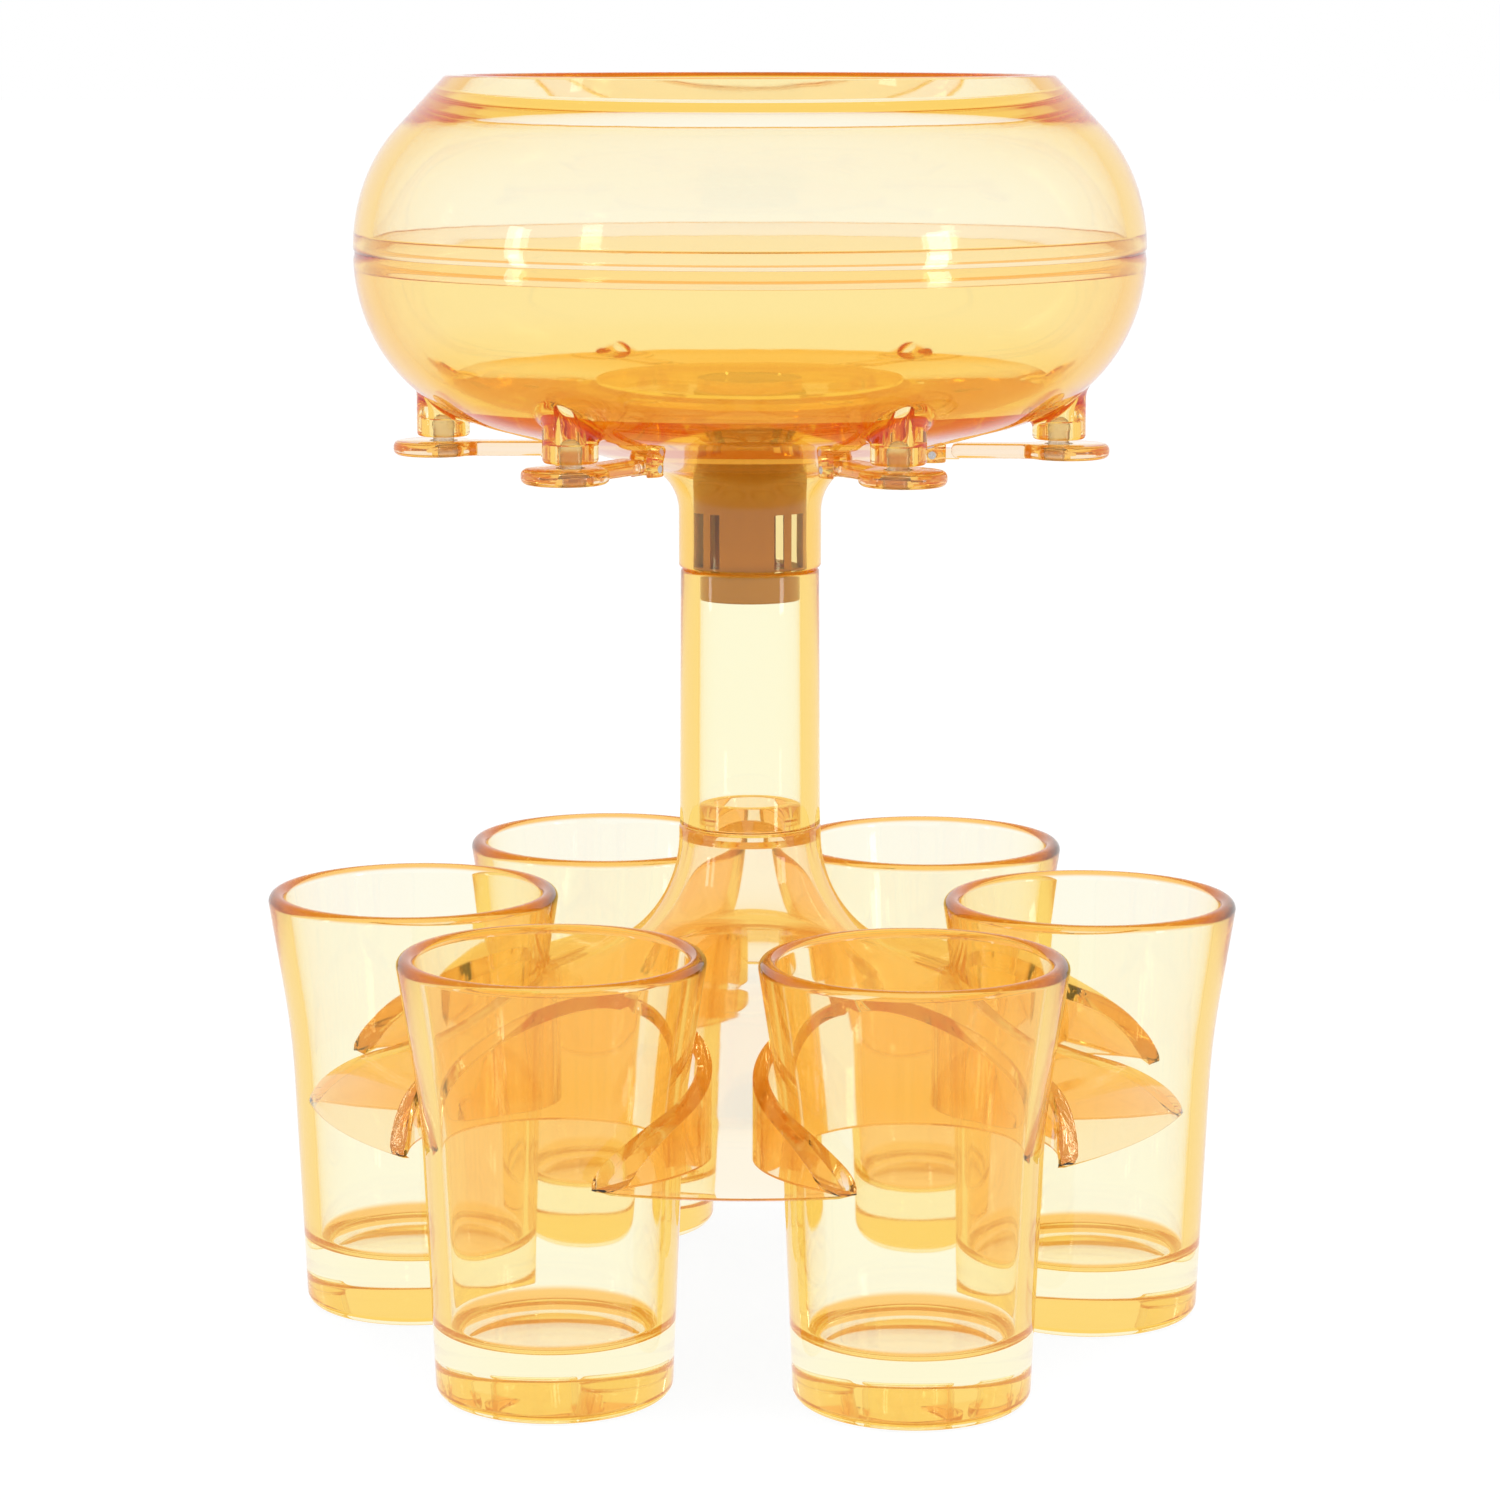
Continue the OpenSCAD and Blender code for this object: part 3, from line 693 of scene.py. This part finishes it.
def trumpet_z(radius):
    """Height of the trumpet at a distance from the centre line."""
    sweep, edge = trumpet_outline()
    line = sweep + edge
    for (r0, z0), (r1, z1) in zip(line, line[1:]):
        if r0 <= radius <= r1:
            return z0 + (z1 - z0) * (radius - r0) / (r1 - r0)
    return line[0][1] if radius < line[0][0] else line[-1][1]


def holder_rows():
    """Rows of a lobe from the spigot's top to the rim: radius, height and half its width."""
    half_step = STATION_STEP / 2
    notch_foot_r = CUP_RING_R - NOTCH_R
    sweep = [p for p in trumpet_outline()[0] if p[0] < notch_foot_r - 0.4]
    hub = [(SPIGOT_R, HUB_TOP_Z + SPIGOT_H), (SPIGOT_R, HUB_TOP_Z),
           (HUB_R - HUB_CHAMFER, HUB_TOP_Z), (HUB_R, HUB_TOP_Z - HUB_CHAMFER)]
    rows = [(r, z, half_step) for r, z in hub + sweep]
    mouth = math.degrees(math.acos((RIM_R ** 2 - CUP_RING_R ** 2 - NOTCH_R ** 2)
                                   / (2 * CUP_RING_R * NOTCH_R)))
    for t in steps(180, mouth, NOTCH_STEPS):
        turn = math.radians(t)
        x, y = CUP_RING_R + NOTCH_R * math.cos(turn), NOTCH_R * math.sin(turn)
        r = min(math.hypot(x, y), RIM_R)
        half = half_step - math.degrees(math.atan2(y, x))
        reach = max(0, r - RIM_R + LOBE_ROUND)
        half -= math.degrees((LOBE_ROUND - math.sqrt(LOBE_ROUND ** 2 - reach ** 2)) / r)
        rows.append((r, trumpet_z(r), half))
    return rows


def lobe():
    """One sixth of the holder's outer surface, with the notches' walls down to the rim."""
    rows = holder_rows()
    last = len(rows) - 1
    bm = bmesh.new()
    bmesh.ops.create_grid(bm, x_segments=LOBE_COLUMNS, y_segments=last, size=1)
    for v in bm.verts:
        r, z, half = rows[round((v.co.y + 1) / 2 * last)]
        turn = math.radians(half * v.co.x)
        v.co = (r * math.cos(turn) * MM, r * math.sin(turn) * MM, z * MM)
    notch_foot_r = CUP_RING_R - NOTCH_R
    edges = []
    for e in bm.edges:
        near, far = sorted(v.co.xy.length / MM for v in e.verts)
        on_notch = near >= notch_foot_r - 0.01 and far > notch_foot_r + 0.001
        if e.is_boundary and on_notch and near <= RIM_R - 0.01:
            edges.append(e)
    for v in bmesh.ops.extrude_edge_only(bm, edges=edges)["geom"]:
        if isinstance(v, bmesh.types.BMVert):
            v.co.z = RIM_Z * MM
    bmesh.ops.remove_doubles(bm, verts=in_order(bm).verts, dist=10 * MERGE * MM)
    return bm


def holder():
    whole = gathered(turned(lobe(), station_turn(k + 0.5)) for k in STATIONS)
    bmesh.ops.remove_doubles(whole, verts=in_order(whole).verts, dist=20 * MERGE * MM)
    bmesh.ops.recalc_face_normals(whole, faces=whole.faces)
    return whole


holder_piece = piece("cup_stand", holder(), "stand", "cup_holder",
                     holder_amber)
skin = holder_piece.modifiers.new("wall", "SOLIDIFY")
skin.thickness = HOLDER_WALL * MM
skin.offset = -1
skin.use_even_offset = True
rounding = holder_piece.modifiers.new("edges", "BEVEL")
rounding.width = LOBE_EDGE * MM
rounding.segments = 3
rounding.limit_method = "ANGLE"
rounding.angle_limit = math.radians(50)


# ---- cups
def cup():
    lip = CUP_WALL / 2
    lip_z = CUP_H - lip
    fillet_z = CUP_BASE + CUP_FILLET
    wall_z = steps(CUP_FLARE_Z, CUP_FLARE_Z + CUP_FLARE_LEN, 14)     # one a millimetre
    foot_c = (cup_radius(CUP_FOOT_ROUND) - CUP_FOOT_ROUND, CUP_FOOT_ROUND)
    outline = rounded([
        (0, CUP_RECESS_D, 0), (CUP_RECESS_R, CUP_RECESS_D, 0.3), (CUP_RECESS_R + 0.2, 0, 0.3),
        (foot_c[0], 0, 0),
    ], closed=False)
    outline += arc(foot_c, CUP_FOOT_ROUND, -90, 0, COARSE)[1:]
    outline += [(cup_radius(z), z) for z in wall_z]
    outline += arc((cup_radius(lip_z) - lip, lip_z), lip, 0, 180, 8)
    outline += [(cup_radius(z) - CUP_WALL, z) for z in reversed(wall_z)]
    fillet_r = cup_radius(fillet_z) - CUP_WALL - CUP_FILLET
    outline += arc((fillet_r, fillet_z), CUP_FILLET, 0, -90, COARSE)
    outline.append((0, CUP_BASE))
    return moved_out(spun(outline, around=AROUND_CUP, closed=False), CUP_RING_R)


# ---- plugs and levers
def plug():
    """A plug: a ball on a stem that is held in the lever by a button on each side."""
    low = LEVER_TOP_Z - LEVER_T
    step = PLUG_BUTTON_H - PLUG_GAP
    outline = rounded([
        (0, low, 0), (PLUG_BUTTON_R, low, PLUG_ROUND),
        (PLUG_BUTTON_R, low + step, PLUG_ROUND), (PLUG_NECK_R, low + step, 0),
        (PLUG_NECK_R, LEVER_TOP_Z - step, 0), (PLUG_BUTTON_R, LEVER_TOP_Z - step, PLUG_ROUND),
        (PLUG_BUTTON_R, LEVER_TOP_Z, PLUG_ROUND), (PLUG_NECK_R, LEVER_TOP_Z, 0),
    ], closed=False, segments=3)
    waist = -math.degrees(math.acos(PLUG_NECK_R / PLUG_HEAD_R))
    outline += arc((0, PLUG_TOP_Z - PLUG_HEAD_R), PLUG_HEAD_R, waist, 90, 5)[:-1]
    outline.append((0, PLUG_TOP_Z))
    return moved_out(spun(outline, around=AROUND_SMALL, closed=False), SPOUT_RING_R)


def plug_hole():
    """The hole for a plug, a little larger than its stem and buttons."""
    low = LEVER_TOP_Z - LEVER_T
    neck, button = PLUG_NECK_R + PLUG_GAP, PLUG_BUTTON_R + PLUG_GAP
    outline = [
        (0, low - 1), (button, low - 1), (button, low + PLUG_BUTTON_H),
        (neck, low + PLUG_BUTTON_H), (neck, LEVER_TOP_Z - PLUG_BUTTON_H),
        (button, LEVER_TOP_Z - PLUG_BUTTON_H), (button, LEVER_TOP_Z + 1), (0, LEVER_TOP_Z + 1),
    ]
    return moved_out(spun(outline, around=AROUND_SMALL, closed=False), SPOUT_RING_R)


def lever():
    """A lever: a knuckle round the pin, a tongue, an arm and a round paddle with its hole."""
    neck_x = HINGE_RING_R + BOSS_R + ARM_END_GAP
    half = ARM_W / 2
    # a fillet runs from the arm's straight side to the round paddle
    rise = half + ARM_FILLET
    reach = math.sqrt((PADDLE_R + ARM_FILLET) ** 2 - rise ** 2)
    meet = math.degrees(math.atan2(rise, reach))
    side = arc((PADDLE_X - reach, rise), ARM_FILLET, -meet, -90, COARSE)
    paddle = arc((PADDLE_X, 0), PADDLE_R, -180 + meet, 180 - meet, 5)
    neck = rounded([(*side[-1], 0), (neck_x, half, ARM_END_ROUND),
                    (neck_x, -half, ARM_END_ROUND), (side[-1][0], -side[-1][1], 0)],
                   closed=False)
    outline = paddle + side[1:-1] + neck + [(x, -y) for x, y in reversed(side[1:-1])]
    bm = plate(outline, LEVER_TOP_Z - LEVER_T, LEVER_TOP_Z, PADDLE_ROUND)
    tongue_x, tongue_y = neck_x + 1.2, KNUCKLE_W / 2
    tongue = plate([(HINGE_RING_R, -tongue_y), (tongue_x, -tongue_y), (tongue_x, tongue_y),
                    (HINGE_RING_R, tongue_y)],
                   PIN_Z - KNUCKLE_R + 0.3, PIN_Z + KNUCKLE_R - 0.1, 0)
    pin = (HINGE_RING_R, 0, PIN_Z)
    bm = joined(bm, tongue, "UNION")
    bm = joined(bm, rod(KNUCKLE_R, KNUCKLE_W - 0.01, pin, AROUND_SMALL), "UNION")
    bm = joined(bm, rod(PIN_R + PIN_GAP, KNUCKLE_W + 1, pin), "DIFFERENCE")
    return joined(bm, plug_hole(), "DIFFERENCE")


lever_shape = as_mesh(lever(), "lever_shape")
for k in STATIONS:
    turn = station_turn(k)
    body = f"lever_{k}"
    shape = bmesh.new()
    shape.from_mesh(lever_shape)
    piece(f"tap_lever_{k}", turned(shape, turn), body, f"lever_{k}",
          lever_amber)
    piece(f"tap_plug_{k}", turned(plug(), turn), body, f"plug_{k}", rubber)
    piece(f"shot_cup_{k}", turned(cup(), turn), f"cup_{k}", f"cup_{k}",
          cup_amber)
bpy.data.meshes.remove(lever_shape)

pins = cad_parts["hinge_pins"]
pins.data.materials.clear()
pins.data.materials.append(steel)


# ---- studio: a pale floor that runs out of sight, soft lamps and a white surround
def pale_floor():
    # Matt pale card. The camera sees it nearly white, and it keeps the object's shadow.
    material, tree = new_material("pale_card")
    path = add(tree, "ShaderNodeLightPath")
    lift = add(tree, "ShaderNodeMath", {"operation": "MULTIPLY"},
               _0=path.outputs["Is Camera Ray"], _1=0.85)
    card = add(tree, "ShaderNodeBsdfDiffuse", Color=colour("#F4F4F4"))
    glow = add(tree, "ShaderNodeEmission", Color=(1, 1, 1, 1), Strength=1.08)
    both = add(tree, "ShaderNodeMixShader", _0=lift.outputs[0], _1=card.outputs[0],
               _2=glow.outputs[0])
    add(tree, "ShaderNodeOutputMaterial", Surface=both.outputs[0])
    return material


floor_bm = bmesh.new()
bmesh.ops.create_grid(floor_bm, x_segments=8, y_segments=8, size=12)
floor_mesh = as_mesh(floor_bm, "floor")
floor_mesh.materials.append(pale_floor())
floor = bpy.data.objects.new("floor", floor_mesh)
bpy.context.scene.collection.objects.link(floor)
floor.location.z = -0.05 * MM
floor.visible_glossy = False
floor.visible_transmission = False

world = bpy.data.worlds.new("studio")
bpy.context.scene.world = world
world.use_nodes = True
air = world.node_tree
air.nodes.clear()
path = add(air, "ShaderNodeLightPath")
seen = add(air, "ShaderNodeMath", {"operation": "ADD"}, _0=path.outputs["Is Camera Ray"],
           _1=path.outputs["Is Glossy Ray"])
seen = add(air, "ShaderNodeMath", {"operation": "ADD", "use_clamp": True}, _0=seen.outputs[0],
           _1=path.outputs["Is Transmission Ray"])

# Clear plastic shows the studio all round: a white wall, with a warm ceiling over it and a
# warm table far below it. What it shows after a reflection inside a wall, or through many
# walls, is painted shade: its colour is picked by the ray's glossy and transmission depths,
# turning amber and then brown as these grow, and it comes from no unlit place in the studio.
# Plain is 1 for all that clear plastic shows, and 0 for the backdrop itself and for light on a
# dull surface
height = add(air, "ShaderNodeSeparateXYZ",
             Vector=add(air, "ShaderNodeTexCoord").outputs["Generated"]).outputs["Z"]
lit = add(air, "ShaderNodeMath", {"operation": "MAXIMUM"}, _0=path.outputs["Is Camera Ray"],
          _1=path.outputs["Diffuse Depth"])
plain = add(air, "ShaderNodeMath", {"operation": "SUBTRACT", "use_clamp": True},
            _0=seen.outputs[0], _1=lit.outputs[0])
# the ray's depths, which pick the painted shade below
walls = path.outputs["Transmission Depth"]
inside = add(air, "ShaderNodeMath", {"operation": "GREATER_THAN"}, _0=walls, _1=0.5)
mirrored = add(air, "ShaderNodeMath", {"operation": "MULTIPLY"},
               _0=path.outputs["Glossy Depth"], _1=inside.outputs[0]).outputs[0]
tent_and_painted_shade = colour("#FFFFFF")
for value, low, high, code in (
    (height, 0.3, 0.8, "#FFCC80"),
    (height, -0.36, -0.62, "#FFCC80"),
    # painted shade: warmer after one reflection inside a wall, deeper amber through many walls,
    # and brown after several inner reflections
    (mirrored, 0, 1, "#FFDC84"),
    (walls, 5, 9, "#FFBC68"),
    (mirrored, 1, 6, "#E0943E"),
):
    # the colour comes in smoothly while the value goes from low to high
    come = add(air, "ShaderNodeMapRange", {"interpolation_type": "SMOOTHSTEP"}, Value=value,
               From_Min=low, From_Max=high)
    amount = add(air, "ShaderNodeMath", {"operation": "MULTIPLY"}, _0=come.outputs["Result"],
                 _1=plain.outputs[0])
    tent_and_painted_shade = add(air, "ShaderNodeMix", {"data_type": "RGBA"}, _0=amount.outputs[0], _6=tent_and_painted_shade,
               _7=colour(code)).outputs[2]
level = add(air, "ShaderNodeMapRange", Value=seen.outputs[0], To_Min=0.92, To_Max=1.0)
sky = add(air, "ShaderNodeBackground", Color=tent_and_painted_shade, Strength=level.outputs["Result"])
add(air, "ShaderNodeOutputWorld", Surface=sky.outputs[0])


def softbox(name, place, target, width, height, power):
    """A soft rectangular lamp that points at a target. Metres and watts."""
    lamp = bpy.data.lights.new(name, "AREA")
    lamp.shape = "RECTANGLE"
    lamp.size = width
    lamp.size_y = height
    lamp.energy = power
    obj = bpy.data.objects.new(name, lamp)
    bpy.context.scene.collection.objects.link(obj)
    obj.location = place
    obj.rotation_euler = (Vector(target) - Vector(place)).to_track_quat("-Z", "Y").to_euler()
    return obj


overhead = softbox("overhead", (0.1, -0.25, 1.1), (0, 0, 0.1), 0.8, 0.6, 3)
overhead.visible_glossy = False
overhead.visible_transmission = False
softbox("right_box", (0.95, -0.62, 0.24), (0, 0, 0.14), 0.14, 0.4, 0.8)
softbox("left_box", (-1.0, -0.45, 0.24), (0, 0, 0.14), 0.1, 0.4, 0.5)

# Light crosses many walls of clear plastic here, so a ray is followed for long
cycles = bpy.context.scene.cycles
cycles.max_bounces = 128
cycles.transmission_bounces = 128
cycles.glossy_bounces = 128
cycles.transparent_max_bounces = 12
cycles.caustics_reflective = False

bpy.context.scene.view_settings.view_transform = "Standard"
